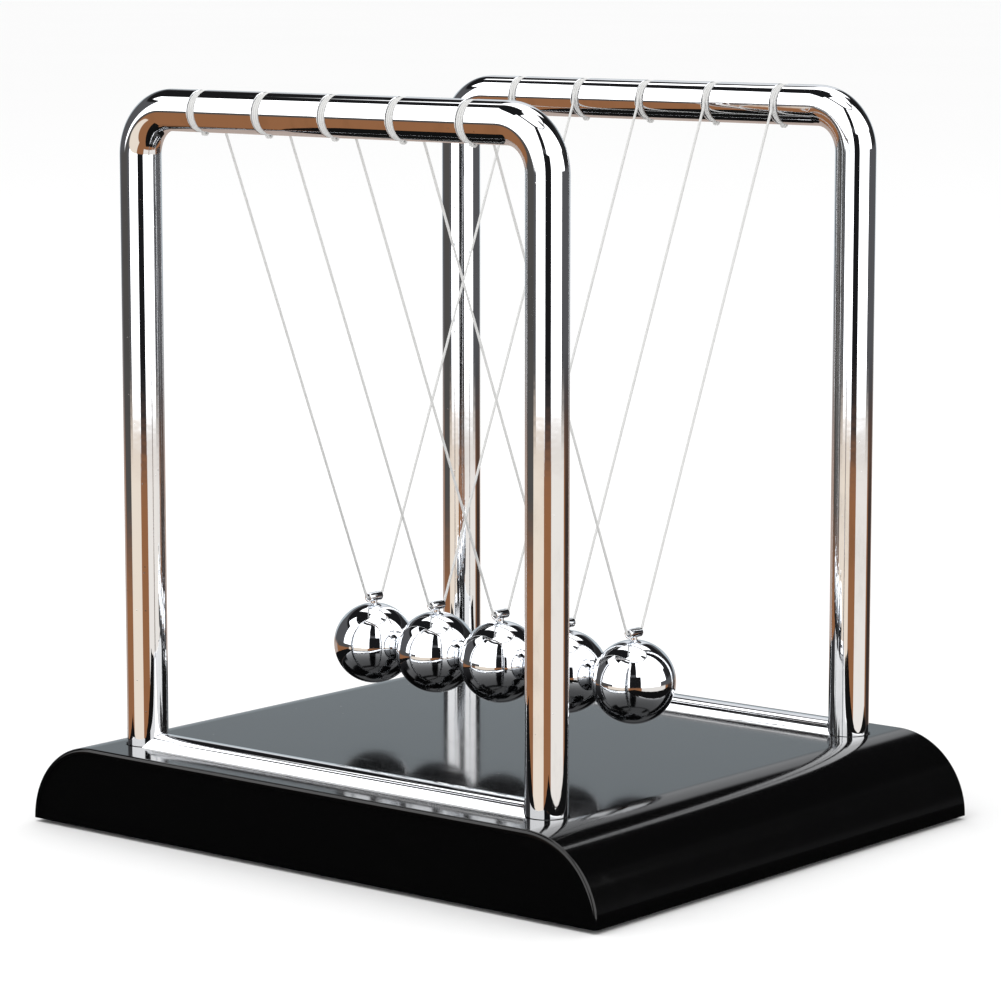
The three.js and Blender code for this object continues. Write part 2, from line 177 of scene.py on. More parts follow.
class CradleColours(bpy.types.PropertyGroup):
    """Colours of the finishes"""

    chrome: colour("Chrome", "Bright plating on the frames", (0.84, 0.85, 0.87))
    steel: colour("Steel", "Polished steel of the balls", (0.80, 0.82, 0.85))
    gloss: colour("Gloss Black", "Black moulding of the base", (0.0018, 0.0018, 0.0019))
    matt: colour("Matt Black", "Bottom cover", (0.012, 0.012, 0.013))
    rubber: colour("Rubber", "Feet", (0.022, 0.022, 0.023))
    zinc: colour("Zinc", "Screws and washers", (0.55, 0.56, 0.58))
    brass: colour("Brass", "Threaded bushes", (0.60, 0.42, 0.17))
    line: colour("Line", "Milky nylon line", (0.74, 0.74, 0.73))
    floor: colour("Floor", "Floor of the studio", (0.975, 0.975, 0.975))


class CradleStudio(bpy.types.PropertyGroup):
    """The camera and the light"""

    azimuth: angle("Azimuth", "Angle that the camera stands at, round the object", 39.525)
    elevation: angle("Elevation", "Angle that the camera looks down at", 8.173)
    distance: length("Distance", "From the camera to the point it looks at", 476.2 * MM)
    aim_height: length("Aim Height", "Height of the point that the camera looks at", 39.8 * MM)
    field: angle("Field of View", "Angle that the picture takes in", 14.6)
    key_power: FloatProperty(
        name="Key Power", description="Power of the overhead light", default=2.2, unit="POWER"
    )
    fill: FloatProperty(name="Fill", description="Strength of the even light from all round", default=1.0)


# ---- Node trees ----

class Value:
    """A socket that Python's operators work on; each operation adds a Math node."""

    def __init__(self, maker, socket):
        self.maker = maker
        self.socket = socket

    def __add__(self, other):
        return self.maker.maths("ADD", self, other)

    def __sub__(self, other):
        return self.maker.maths("SUBTRACT", self, other)

    def __rsub__(self, other):
        return self.maker.maths("SUBTRACT", other, self)

    def __mul__(self, other):
        return self.maker.maths("MULTIPLY", self, other)

    def __lt__(self, other):
        return self.maker.maths("LESS_THAN", self, other)

    __radd__ = __add__
    __rmul__ = __mul__

    def rises(self, low, high):
        """0 below low, 1 above high, smooth between."""
        inputs = {"Value": self, "From Min": low, "From Max": high}
        node = self.maker.node("ShaderNodeMapRange", inputs, interpolation_type="SMOOTHSTEP")
        return Value(self.maker, node.outputs["Result"])

    def between(self, low, high, soft):
        """1 between low and high, and 0 outside them."""
        return self.rises(low - soft, low + soft) * (1 - self.rises(high - soft, high + soft))


class NodeMaker:
    """Adds nodes of any type to one node tree."""

    def __init__(self, tree):
        self.tree = tree

    def node(self, kind, inputs=None, **settings):
        """A node of that type, with its settings made first and then its sockets fed."""
        made = self.tree.nodes.new(kind)
        for name, value in settings.items():
            setattr(made, name, value)
        for name, value in (inputs or {}).items():
            self.feed(made.inputs[name], value)
        return made

    def feed(self, socket, value):
        """Gives a socket a number, a colour or a link."""
        source = value.socket if isinstance(value, Value) else value
        if isinstance(source, bpy.types.NodeSocket):
            self.tree.links.new(source, socket)
        else:
            socket.default_value = source

    def maths(self, operation, first, second=0.0):
        node = self.node("ShaderNodeMath", {0: first, 1: second}, operation=operation)
        return Value(self, node.outputs[0])

    def mix(self, factor, first, second):
        """A colour between two colours."""
        return self.node("ShaderNodeMix", {0: factor, 6: first, 7: second}, data_type="RGBA").outputs[2]


class Finish(NodeMaker):
    """A material with one Principled shader, and the object's own coordinates to draw on."""

    def __init__(self, name):
        self.material = bpy.data.materials.new(name)
        self.material.use_nodes = True
        super().__init__(self.material.node_tree)
        self.shader = self.tree.nodes["Principled BSDF"]
        self.where = self.node("ShaderNodeTexCoord").outputs["Object"]

    def set(self, **sockets):
        """Feeds the shader's sockets, named in words joined by underscores, and gives the material."""
        named = {socket.name.lower().replace(" ", "_"): socket for socket in self.shader.inputs}
        for name, value in sockets.items():
            self.feed(named[name], value)
        return self.material

    def noise(self, scale, detail=2.0, roughness=0.5, stretch=(1, 1, 1)):
        """Cloudy noise from 0 to 1, drawn out or pressed together along each axis."""
        where = self.where
        if stretch != (1, 1, 1):
            where = self.node("ShaderNodeMapping", {"Vector": where, "Scale": stretch}).outputs[0]
        inputs = {"Vector": where, "Scale": scale, "Detail": detail, "Roughness": roughness}
        return Value(self, self.node("ShaderNodeTexNoise", inputs).outputs["Fac"])

    def specks(self, cell, radius, share):
        """Dots of a radius, in a share of the cells that space is divided into."""
        node = self.node("ShaderNodeTexVoronoi", {"Vector": self.where, "Scale": 1 / cell})
        chance = Value(self, self.node("ShaderNodeSeparateColor", {0: node.outputs["Color"]}).outputs[0])
        near = 1 - Value(self, node.outputs["Distance"]).rises(0.6 * radius / cell, radius / cell)
        return near * (chance < share)

    def bump(self, height, distance):
        inputs = {"Height": height, "Distance": distance, "Strength": 1.0}
        return self.node("ShaderNodeBump", inputs).outputs["Normal"]


def rgba(value, level=1.0):
    """A colour with its alpha, made lighter or darker."""
    return (*(channel * level for channel in value), 1.0)


# ---- Finishes ----

def chrome_plating(colours):
    """Bright nickel-chrome on the tubes: mirror-like, with a faint ripple, smears and pin-head specks."""
    finish = Finish("Bright chrome plating")
    smear = finish.noise(260, 4, 0.62, (1, 1, 0.35)).rises(0.5, 0.72)
    specks = finish.specks(0.9 * MM, 0.09 * MM, 0.16)
    ripple = finish.noise(420)
    smeared = finish.mix(smear, rgba(colours.chrome), rgba(colours.chrome, 0.9))
    return finish.set(
        base_color=finish.mix(specks, smeared, rgba(colours.chrome, 0.45)),
        metallic=1.0,
        roughness=0.015 + 0.05 * smear + 0.25 * specks,
        normal=finish.bump(ripple + 0.6 * specks, 0.004 * MM),
    )


def polished_steel(colours):
    """Ball steel: a clean mirror with hair-fine polishing marks and a little haze."""
    finish = Finish("Polished ball steel")
    haze = finish.noise(330, 3, 0.6).rises(0.48, 0.75)
    marks = finish.noise(1400, stretch=(1, 1, 9)).rises(0.6, 0.75)
    return finish.set(
        base_color=finish.mix(haze, rgba(colours.steel), rgba(colours.steel, 0.93)),
        metallic=1.0,
        roughness=0.02 + 0.035 * haze + 0.03 * marks,
        normal=finish.bump(marks, 0.0006 * MM),
    )


def gloss_moulding(colours):
    """High-gloss black plastic with a slow moulding ripple, faint wiping marks and a few specks of dust."""
    finish = Finish("Gloss black moulding")
    dust = finish.specks(3.2 * MM, 0.11 * MM, 0.2)
    wiping = finish.noise(420, 3, 0.6, (0.25, 1, 1)).rises(0.52, 0.8)
    ripple = finish.noise(95, 1)
    return finish.set(
        base_color=finish.mix(dust, rgba(colours.gloss), (0.22, 0.21, 0.20, 1.0)),
        roughness=0.1 + 0.05 * wiping + 0.4 * dust,
        ior=1.4,
        normal=finish.bump(ripple + 0.05 * dust, 0.01 * MM),
    )


def matt_sheet(colours):
    """Black sheet plastic with a fine spark-eroded grain."""
    finish = Finish("Matt black sheet")
    grain = finish.noise(3800, 3, 0.7)
    tone = finish.noise(140)
    return finish.set(
        base_color=finish.mix(tone, rgba(colours.matt, 0.8), rgba(colours.matt, 1.5)),
        roughness=0.5 + 0.2 * grain,
        normal=finish.bump(grain, 0.03 * MM),
    )


def foot_rubber(colours):
    """Soft rubber with a dusty bloom."""
    finish = Finish("Foot rubber")
    bloom = finish.noise(900, 4, 0.65)
    return finish.set(
        base_color=finish.mix(bloom, rgba(colours.rubber, 0.8), rgba(colours.rubber, 1.7)),
        roughness=0.75 + 0.2 * bloom,
        normal=finish.bump(bloom, 0.02 * MM),
    )


def zinc_plating(colours):
    """Zinc-plated steel with turning marks."""
    finish = Finish("Zinc plating")
    marks = finish.noise(2200, stretch=(1, 1, 12))
    tone = finish.noise(700, 3)
    return finish.set(
        base_color=finish.mix(tone, rgba(colours.zinc, 0.8), rgba(colours.zinc)),
        metallic=1.0,
        roughness=0.24 + 0.2 * marks,
        normal=finish.bump(marks, 0.006 * MM),
    )


def turned_brass(colours):
    """Brass straight from the lathe."""
    finish = Finish("Turned brass")
    marks = finish.noise(1900, stretch=(1, 1, 10))
    return finish.set(
        base_color=finish.mix(marks, rgba(colours.brass, 0.85), rgba(colours.brass)),
        metallic=1.0,
        roughness=0.25 + 0.2 * marks,
        normal=finish.bump(marks, 0.005 * MM),
    )


def nylon_line(colours):
    """Clear nylon monofilament, which looks milky, with drawing marks along it."""
    finish = Finish("Clear nylon line")
    marks = finish.noise(5200, stretch=(1, 1, 0.2))
    return finish.set(
        base_color=finish.mix(marks, rgba(colours.line, 0.93), rgba(colours.line)),
        roughness=0.22 + 0.14 * marks,
        ior=1.3,
        normal=finish.bump(marks, 0.002 * MM),
    )


FINISHES = {
    "frame_chrome": chrome_plating,
    "ball_chrome": polished_steel,
    "base_gloss_black": gloss_moulding,
    "cover_matte_black": matt_sheet,
    "foot_rubber": foot_rubber,
    "screw_steel": zinc_plating,
    "bush_brass": turned_brass,
    "clear_line": nylon_line,
}
finished = {}


def finish_for(slot):
    """The material of a slot, made the first time it is asked for."""
    if slot not in finished:
        finished[slot] = FINISHES[slot](bpy.context.scene.cradle_colours)
    return finished[slot]


# ---- Meshes ----

def mesh_piece(name, vertices, faces):
    """A new object from vertices and faces, with its faces turned outwards."""
    mesh = bpy.data.meshes.new(name)
    mesh.from_pydata([tuple(v) for v in vertices], [], faces)
    shape = bmesh.new()
    shape.from_mesh(mesh)
    bmesh.ops.remove_doubles(shape, verts=shape.verts, dist=1e-8)
    bmesh.ops.recalc_face_normals(shape, faces=shape.faces)
    shape.to_mesh(mesh)
    shape.free()
    return placed(name, mesh)


def placed(name, data):
    """A new object at the origin, linked to the scene."""
    made = bpy.data.objects.new(name, data)
    bpy.context.scene.collection.objects.link(made)
    return made


def loft(name, rings):
    """A closed solid through rings of points, with a flat cap at each end."""
    count = len(rings[0])
    vertices = [point for ring in rings for point in ring]
    faces = [tuple(range(count)), tuple(range(len(vertices) - count, len(vertices)))]
    for start in range(0, len(vertices) - count, count):
        for side in range(count):
            after = (side + 1) % count
            faces.append((start + side, start + after, start + count + after, start + count + side))
    return mesh_piece(name, vertices, faces)


def turned(name, profile, sides=64):
    """A solid of revolution about Z. A profile of [radius, height] pairs starts and ends on the axis, or
    closes on itself round a bore."""
    vertices, rings = [], []
    for radius, height in profile:
        turns = [math.tau * step / sides for step in range(sides if radius > 0 else 1)]
        rings.append(range(len(vertices), len(vertices) + len(turns)))
        vertices += [(radius * math.cos(turn), radius * math.sin(turn), height) for turn in turns]
    pairs = list(zip(rings, rings[1:]))
    if profile[0][0] > 0:
        pairs.append((rings[-1], rings[0]))
    faces = []
    for lower, upper in pairs:
        for side in range(sides):
            places = ((lower, side), (lower, side + 1), (upper, side + 1), (upper, side))
            corners = dict.fromkeys(ring[place % len(ring)] for ring, place in places)
            if len(corners) > 2:
                faces.append(tuple(corners))
    return mesh_piece(name, vertices, faces)


def arc(centre, radius, start, end, steps):
    """Points of an arc in a profile; angles in degrees."""
    turns = [math.radians(start + (end - start) * step / steps) for step in range(steps + 1)]
    return [(centre[0] + radius * math.cos(turn), centre[1] + radius * math.sin(turn)) for turn in turns]


def shift(made, x=0.0, y=0.0, z=0.0):
    """Moves a piece's mesh, and leaves its object at the origin."""
    made.data.transform(Matrix.Translation((x, y, z)))
    return made


def quarter_turn(made, axis):
    """Turns a piece's mesh by a right angle."""
    made.data.transform(Matrix.Rotation(math.pi / 2, 4, axis))
    return made


def evaluated(source, name):
    """A new object with the plain mesh that a source's modifiers make; the source is removed."""
    bpy.context.view_layer.update()
    graph = bpy.context.evaluated_depsgraph_get()
    mesh = bpy.data.meshes.new_from_object(source.evaluated_get(graph), depsgraph=graph)
    bpy.data.objects.remove(source)
    mesh.name = name
    return placed(name, mesh)


def combine(made, tool, operation):
    """Cuts or joins a piece with a tool, which is used up."""
    modifier = made.modifiers.new("tool", "BOOLEAN")
    modifier.operation = operation
    modifier.solver = "EXACT"
    modifier.object = tool
    result = evaluated(made, made.name)
    bpy.data.objects.remove(tool)
    return result


def cut(made, *tools):
    """Cuts a piece with one tool after another."""
    for tool in tools:
        made = combine(made, tool, "DIFFERENCE")
    return made


def crisp(made, degrees=30):
    """Smooth shading with crisp edges, where flat faces stay flat right up to a round."""
    made.data.shade_smooth()
    made.data.set_sharp_from_angle(angle=math.radians(degrees))
    modifier = made.modifiers.new("flats", "WEIGHTED_NORMAL")
    modifier.keep_sharp = True
    return evaluated(made, made.name.split(".")[0])


def hand_over(made, body, slot, nodes):
    """Gives a piece its finish, the body it rides on and the frame's nodes that it stands for."""
    made.name = made.name.split(".")[0]
    made.data.materials.clear()
    made.data.materials.append(finish_for(slot))
    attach(made, body)
    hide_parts(*nodes)


# ---- Geometry trees ----

class ShapeTree(NodeMaker):
    """A geometry tree with named inputs, which ends in Realize Instances and Set Material."""

    def __init__(self, name, lengths, counts=()):
        super().__init__(bpy.data.node_groups.new(name, "GeometryNodeTree"))
        face = self.tree.interface
        kinds = {"Geometry": "Geometry", **dict.fromkeys(lengths, "Float"), **dict.fromkeys(counts, "Int")}
        for title, kind in {**kinds, "Finish": "Material"}.items():
            face.new_socket(name=title, in_out="INPUT", socket_type="NodeSocket" + kind)
        face.new_socket(name="Geometry", in_out="OUTPUT", socket_type="NodeSocketGeometry")
        self.given = self.node("NodeGroupInput").outputs

    def number(self, title):
        return Value(self, self.given[title])

    def shape(self, kind, inputs=None, **settings):
        """What a geometry node makes."""
        return self.node("GeometryNode" + kind, inputs, **settings).outputs[0]

    def along_x(self, distance):
        return self.node("ShaderNodeCombineXYZ", {"X": distance}).outputs[0]

    def sweep(self, path, radius, **extra):
        """A solid round bar along a curve."""
        circle = {"Resolution": self.given["Sides"], "Radius": radius}
        section = self.shape("CurvePrimitiveCircle", circle, mode="RADIUS")
        inputs = {"Curve": path, "Profile Curve": section, "Fill Caps": True, **extra}
        return self.shape("CurveToMesh", inputs)

    def finish(self, shape):
        real = self.shape("RealizeInstances", {"Geometry": shape})
        coated = self.shape("SetMaterial", {"Geometry": real, "Material": self.given["Finish"]})
        self.node("NodeGroupOutput", {"Geometry": coated})
        return self

    def run(self, source, name, slot, **inputs):
        """The plain mesh that the tree makes from a source object, with the tree's inputs set first."""
        modifier = source.modifiers.new("shape", "NODES")
        modifier.node_group = self.tree
        values = {title.replace("_", " "): value for title, value in inputs.items()}
        values["Finish"] = finish_for(slot)
        for item in self.tree.interface.items_tree:
            if item.in_out == "INPUT" and item.name in values:
                modifier[item.identifier] = values[item.name]
        return evaluated(source, name)


def line_tree():
    """Round line along each curve, with small melted ends, repeated along the row of balls."""
    tree = ShapeTree("Strung line", ("Diameter", "Bead", "Pitch", "First Place"), ("Sides", "Count"))
    path, sides = tree.given["Geometry"], tree.given["Sides"]
    line = tree.sweep(path, tree.number("Diameter") * 0.5)
    bead = tree.shape("MeshUVSphere", {"Segments": sides, "Rings": 8, "Radius": tree.number("Bead") * 0.5})
    ends = tree.shape("CurveEndpointSelection")
    beads = tree.shape("InstanceOnPoints", {"Points": path, "Selection": ends, "Instance": bead})
    strand = tree.node("GeometryNodeJoinGeometry")
    for part in (line, beads):
        tree.feed(strand.inputs[0], part)
    start, step = tree.along_x(tree.number("First Place")), tree.along_x(tree.number("Pitch"))
    spacing = {"Count": tree.given["Count"], "Start Location": start, "Offset": step}
    row = tree.shape("MeshLine", spacing, mode="OFFSET")
    copies = tree.shape("InstanceOnPoints", {"Points": row, "Instance": strand.outputs[0]})
    return tree.finish(tree.shape("SetShadeSmooth", {"Geometry": copies}))


def corner_tree():
    """One fitting repeated at the four corners of a rectangle."""
    tree = ShapeTree("At four corners", ("Length Apart", "Depth Apart"))
    sizes = {"Size X": tree.given["Length Apart"], "Size Y": tree.given["Depth Apart"]}
    corners = tree.shape("MeshGrid", {**sizes, "Vertices X": 2, "Vertices Y": 2})
    copies = tree.shape("InstanceOnPoints", {"Points": corners, "Instance": tree.given["Geometry"]})
    return tree.finish(copies)


def tube_tree():
    """A tube along a curve whose point radii draw it in at the grooves, with a plain bore."""
    tree = ShapeTree("Bent tube", ("Outer Radius", "Bore Radius", "End Margin"), ("Sides",))
    path, margin = tree.given["Geometry"], tree.number("End Margin")
    whole = Value(tree, tree.shape("CurveLength", {"Curve": path}))
    trimmed = tree.shape("TrimCurve", {"Curve": path, 4: margin, 5: whole - margin}, mode="LENGTH")
    outside = tree.sweep(trimmed, tree.given["Outer Radius"], Scale=tree.shape("InputRadius"))
    inside = tree.sweep(path, tree.given["Bore Radius"], Scale=1.0)
    solids = {"Mesh 1": outside, "Mesh 2": inside}
    return tree.finish(tree.shape("MeshBoolean", solids, operation="DIFFERENCE", solver="EXACT"))


def curve_piece(name, paths):
    """A curve object with one open path for each list of points; a fourth number is the radius there."""
    data = bpy.data.curves.new(name, "CURVE")
    data.dimensions = "3D"
    for points in paths:
        spline = data.splines.new("POLY")
        spline.points.add(len(points) - 1)
        for point, place in zip(spline.points, points):
            point.co = (*place[:3], 1.0)
            point.radius = place[3] if len(place) > 3 else 1.0
    return placed(name, data)


# ---- Base ----

def base_outline(sizes, inset, steps=28):
    """The base's section, drawn in by an inset: a flat top that falls to the rim in two quarter rounds."""
    half = BASE_HIGH.x - inset
    radius = sizes.side_radius - inset
    springing = BASE_HIGH.z - sizes.side_radius
    right = arc((half - radius, springing), radius, 0, 90, steps)
    return right + arc((radius - half, springing), radius, 90, 180, steps)


def base_body(sizes):
    """The outside of the base: its section along Y, with a rounded and stepped rim at both flat ends."""
    end, lip, step = BASE_HIGH.y, sizes.lip_radius, sizes.lip_step
    flat = lip + sizes.lip_width
    stations = [(0.0, end - lip)]
    stations += arc((lip, end - lip), lip, 180, 90, 8)[1:]
    stations.append((flat, end))
    stations += arc((flat + step, end), step, 180, 270, 5)[1:]
    rings = []
    for inset, depth in [(i, -d) for i, d in reversed(stations)] + stations:
        rings.append([(x, depth, z) for x, z in base_outline(sizes, inset)])
    return loft("base_moulding", rings)


def base_hollow(sizes):
    """The space under the base, down past its rim."""
    depth = BASE_HIGH.y - sizes.wall
    outline = base_outline(sizes, sizes.wall, 16)
    drop = BASE_LOW.z - sizes.wall
    outline = [(outline[0][0], drop), *outline, (outline[-1][0], drop)]
    return loft("hollow", [[(x, y, z) for x, z in outline] for y in (-depth, depth)])


def corner_places(prefix):
    """Where the frame's four nodes of one kind are: the corners of a rectangle."""
    apart = middle(prefix + "_front_right").x - middle(prefix + "_front_left").x
    deep = middle(prefix + "_back_left").y - middle(prefix + "_front_left").y
    return [(x * apart / 2, y * deep / 2) for y in (-1, 1) for x in (-1, 1)]


def drum(radius, bottom, top, x=0.0, y=0.0, sides=64):
    """A plain round tool for cutting."""
    return shift(turned("drum", [(0, bottom), (radius, bottom), (radius, top), (0, top)], sides), x, y)


def box_tool(low, high):
    """A plain square tool for cutting."""
    ring = [(low[0], low[1]), (high[0], low[1]), (high[0], high[1]), (low[0], high[1])]
    return loft("box", [[(x, y, z) for x, y in ring] for z in (low[2], high[2])])


class CRADLE_OT_base(bpy.types.Operator):
    """Mould the base: quarter-round sides, stepped ends, post holes, channels, bosses and ribs"""

    bl_idname = "cradle.base"
    bl_label = "Base Moulding"

    def hollow(self, sizes, posts, screws, channel, sill_height):
        """The space inside the moulding, which leaves its ribs and bosses standing."""
        boss_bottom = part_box("post_washer_front_left")[1].z + HAIR_GAP
        cover_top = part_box("base_cover")[1].z + HAIR_GAP
        top = BASE_HIGH.z + sizes.wall / 2
        hollow = base_hollow(sizes)
        for side in (-1, 1):
            y, width = side * FRAMES_APART / 2, channel + sizes.boss_wall
            low = (-POST_APART / 2, y - width, sill_height - width)
            hollow = cut(hollow, box_tool(low, (POST_APART / 2, y + width, BASE_HIGH.z)))
        for x, y in posts:
            radius = TUBE_DIAMETER / 2 + sizes.post_gap + sizes.boss_wall
            hollow = cut(hollow, drum(radius, boss_bottom, BASE_HIGH.z, x, y))
        for x, y in screws:
            hollow = cut(hollow, drum(sizes.pilot_hole / 2 + sizes.boss_wall, cover_top, top, x, y))
        return hollow

    def execute(self, context):
        sizes = context.scene.cradle_base
        posts = [(x * POST_APART / 2, y * FRAMES_APART / 2) for y in (-1, 1) for x in (-1, 1)]
        screws = corner_places("cover_screw")
        channel = span("sill_rod_front", 1) / 2 + sizes.sill_gap
        sill_height = middle("sill_rod_front").z
        hole, floor = TUBE_DIAMETER / 2 + sizes.post_gap, POST_FOOT - HAIR_GAP
        over = 2 * sizes.mouth
        mouth = [(0, floor), (hole, floor), (hole, BASE_HIGH.z - sizes.mouth)]
        mouth += [(hole + sizes.mouth + over, BASE_HIGH.z + over), (0, BASE_HIGH.z + over)]
        pilot_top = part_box("cover_screw_front_left")[1].z + 2 * HAIR_GAP

        body = cut(base_body(sizes), self.hollow(sizes, posts, screws, channel, sill_height))
        for x, y in posts:
            screw_hole = drum(sizes.screw_hole / 2, 0, BASE_HIGH.z, x, y, 32)
            body = cut(body, shift(turned("mouth", mouth), x, y), screw_hole)
        for side in (-1, 1):
            trough = quarter_turn(drum(channel, -POST_APART / 2, POST_APART / 2, sides=96), "Y")
            body = cut(body, shift(trough, y=side * FRAMES_APART / 2, z=sill_height))
        for x, y in screws:
            body = cut(body, drum(sizes.pilot_hole / 2, 0, pilot_top, x, y, 32))
        hand_over(crisp(body), "root", "base_gloss_black", ["base_shell"])
        return {"FINISHED"}


class CRADLE_OT_cover(bpy.types.Operator):
    """Make the bottom cover: a thin sheet with a rolled edge and sunk holes for its four screws"""

    bl_idname = "cradle.cover"
    bl_label = "Bottom Cover"

    def execute(self, context):
        low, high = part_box("base_cover")
        edge, corner = 0.3 * MM, 1.2 * MM
        rings = []
        for height, inset in ((low.z, edge), (low.z + edge, 0.0), (high.z - edge, 0.0), (high.z, edge)):
            ring = []
            for x_sign, y_sign, start in ((1, 1, 0), (-1, 1, 90), (-1, -1, 180), (1, -1, 270)):
                centre = (x_sign * (high.x - corner), y_sign * (high.y - corner))
                ring += [(x, y, height) for x, y in arc(centre, corner - inset, start, start + 90, 8)]
            rings.append(ring)
        cover = loft("bottom_cover", rings)

        clearance, chamfer, shank_hole = 0.15 * MM, 0.1 * MM, 0.9 * MM
        head_hole = span("cover_screw_front_left", 0) / 2 + clearance
        shelf, top = low.z + 0.85 * MM, high.z + edge
        sunk = [(0, 0), (head_hole + chamfer, 0), (head_hole + chamfer, low.z), (head_hole, low.z + chamfer)]
        sunk += [(head_hole, shelf), (shank_hole, shelf), (shank_hole, top), (0, top)]
        for x, y in corner_places("cover_screw"):
            cover = cut(cover, shift(turned("sunk", sunk, 48), x, y))
        hand_over(crisp(cover), "root", "cover_matte_black", ["base_cover"])
        return {"FINISHED"}


# ---- Frames ----

def rod_with_copes(name, node, steps=96):
    """A sill rod whose ends are hollowed to fit round the posts."""
    radius, centre = span(node, 1) / 2, middle(node)
    cope = TUBE_DIAMETER / 2 + COPE_GAP
    rings = []
    for share in (-1.0, -0.9, 0.0, 0.9, 1.0):
        ring = []
        for step in range(steps):
            turn = math.tau * step / steps
            across = radius * math.sin(turn)
            reach = POST_APART / 2 - math.sqrt(max(cope**2 - across**2, 0.0))
            ring.append((share * reach, centre.y + across, centre.z + radius * math.cos(turn)))
        rings.append(ring)
    return loft(name, rings)


class CRADLE_OT_frames(bpy.types.Operator):
    """Bend the two frame tubes, with a groove for each line, and lay the sill rods"""

    bl_idname = "cradle.frames"
    bl_label = "Frames and Sill Rods"

    def groove(self, sizes):
        """Half of a groove: how far points are from its middle, and their share of the tube's radius."""
        half, edge = sizes.groove_width / 2, sizes.groove_edge
        waist = 1.0 - sizes.groove_depth / (TUBE_DIAMETER / 2)
        fall = edge / (TUBE_DIAMETER / 2)
        wall, start = 0.01 * MM, 0.3
        return (
            (half + edge, 1.0),
            (half + start * edge, 1 - start * fall),
            (half, 1.0 - fall),
            (half - wall, waist),
        )

    def tube_path(self, sizes, y, margin):
        """Up one post, over the bar and down the other, drawn in at the grooves."""
        centre = (POST_APART / 2 - sizes.bend_radius, BAR_HEIGHT - sizes.bend_radius)
        right = [(POST_APART / 2, POST_FOOT - margin), (POST_APART / 2, POST_FOOT + TUBE_DIAMETER)]
        right += arc(centre, sizes.bend_radius, 0, 90, 24)
        path = [(x, y, z, 1.0) for x, z in right]
        half = self.groove(sizes)
        groove = [*half, *((-offset, share) for offset, share in reversed(half))]
        for x in sorted((middle(name).x for name in BALLS), reverse=True):
            path += [(x + offset, y, BAR_HEIGHT, share) for offset, share in groove]
        return path + [(-x, y, z, 1.0) for x, z in reversed(right)]

    def execute(self, context):
        sizes = context.scene.cradle_frame
        margin = 1.0 * MM
        tree = tube_tree()
        for side in SIDES:
            path = self.tube_path(sizes, middle("frame_" + side).y, margin)
            tube = tree.run(
                curve_piece("tube path", [path]),
                "frame_tube_" + side,
                "frame_chrome",
                Outer_Radius=TUBE_DIAMETER / 2,
                Bore_Radius=TUBE_DIAMETER / 2 - sizes.tube_wall,
                End_Margin=margin,
                Sides=64,
            )
            hand_over(crisp(tube), "root", "frame_chrome", ["frame_" + side])
            rod = rod_with_copes("sill_" + side, "sill_rod_" + side)
            hand_over(crisp(rod), "root", "frame_chrome", ["sill_rod_" + side])
        return {"FINISHED"}


# ---- Screws, washers, bushes and feet ----

def cross_headed(name, node, height, shank, rim):
    """A screw with its head down, made at the origin: domed rim, cross recess, threaded shank."""
    low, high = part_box(node)
    head = (high.x - low.x) / 2
    pitch, depth, lead = 0.4 * MM, 0.12 * MM, 0.1 * MM
    profile = [(0, low.z), (head - rim, low.z), *arc((head - rim, low.z + rim), rim, -90, 0, 6)]
    profile += [(head, low.z + height), (shank, low.z + height)]
    place = low.z + height + lead
    while place + pitch < high.z - shank / 2:
        profile += [(shank - depth, place), (shank, place + pitch / 2)]
        place += pitch
    profile += [(shank - depth, place), (0.3 * shank, high.z), (0, high.z)]
    made = turned(name, profile, 48)
    narrow, wide = head / 7, 0.58 * head
    for x, y in ((narrow, wide), (wide, narrow)):
        made = cut(made, box_tool((-x, -y, low.z - height), (x, y, low.z + height / 2)))
    return crisp(made)


class CRADLE_OT_fittings(bpy.types.Operator):
    """Make the screws, washers and bushes that hold the posts, the cover's screws and the feet"""

    bl_idname = "cradle.fittings"
    bl_label = "Screws, Washers, Bushes and Feet"

    def foot(self):
        """A round pad with a rim that it stands on."""
        low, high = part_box("foot_front_left")
        radius = (high.x - low.x) / 2
        recess, rim_width, edge, draft = 0.1 * MM, 1.3 * MM, 0.2 * MM, 0.05 * MM
        inner = radius - rim_width
        pad = [(0, low.z + recess), (inner + recess, low.z + recess), (inner, low.z)]
        pad += arc((radius - edge, low.z + edge), edge, -90, 0, 6)
        return crisp(turned("foot", [*pad, (radius - draft, high.z), (0, high.z)], 96))

    def ring(self, prefix, bore, edge):
        """A washer or bush with chamfered outer edges."""
        low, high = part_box(prefix + "_front_left")
        outer = (high.x - low.x) / 2
        profile = [(bore, low.z), (outer - edge, low.z), (outer, low.z + edge)]
        profile += [(outer, high.z - edge), (outer - edge, high.z), (bore, high.z)]
        return crisp(turned(prefix, profile))

    def execute(self, context):
        tree = corner_tree()
        cover_screw = cross_headed("cover screw", "cover_screw_front_left", 0.8 * MM, 0.75 * MM, 0.25 * MM)
        post_screw = cross_headed("post screw", "post_screw_front_left", 1.1 * MM, 1.0 * MM, 0.35 * MM)
        for prefix, name, slot, made in (
            ("foot", "rubber_feet", "foot_rubber", self.foot()),
            ("cover_screw", "cover_screw_set", "screw_steel", cover_screw),
            ("post_screw", "post_screw_set", "screw_steel", post_screw),
            ("post_washer", "post_washer_set", "screw_steel", self.ring("post_washer", 1.15 * MM, 0.08 * MM)),
            ("post_bush", "post_bush_set", "bush_brass", self.ring("post_bush", 1.05 * MM, 0.15 * MM)),
        ):
            nodes = [f"{prefix}_{corner}" for corner in CORNERS]
            x, y = corner_places(prefix)[-1]
            spread = tree.run(made, name, slot, Length_Apart=2 * x, Depth_Apart=2 * y)
            hand_over(spread, "root", slot, nodes)
        return {"FINISHED"}


# ---- Balls, hangers and lines ----

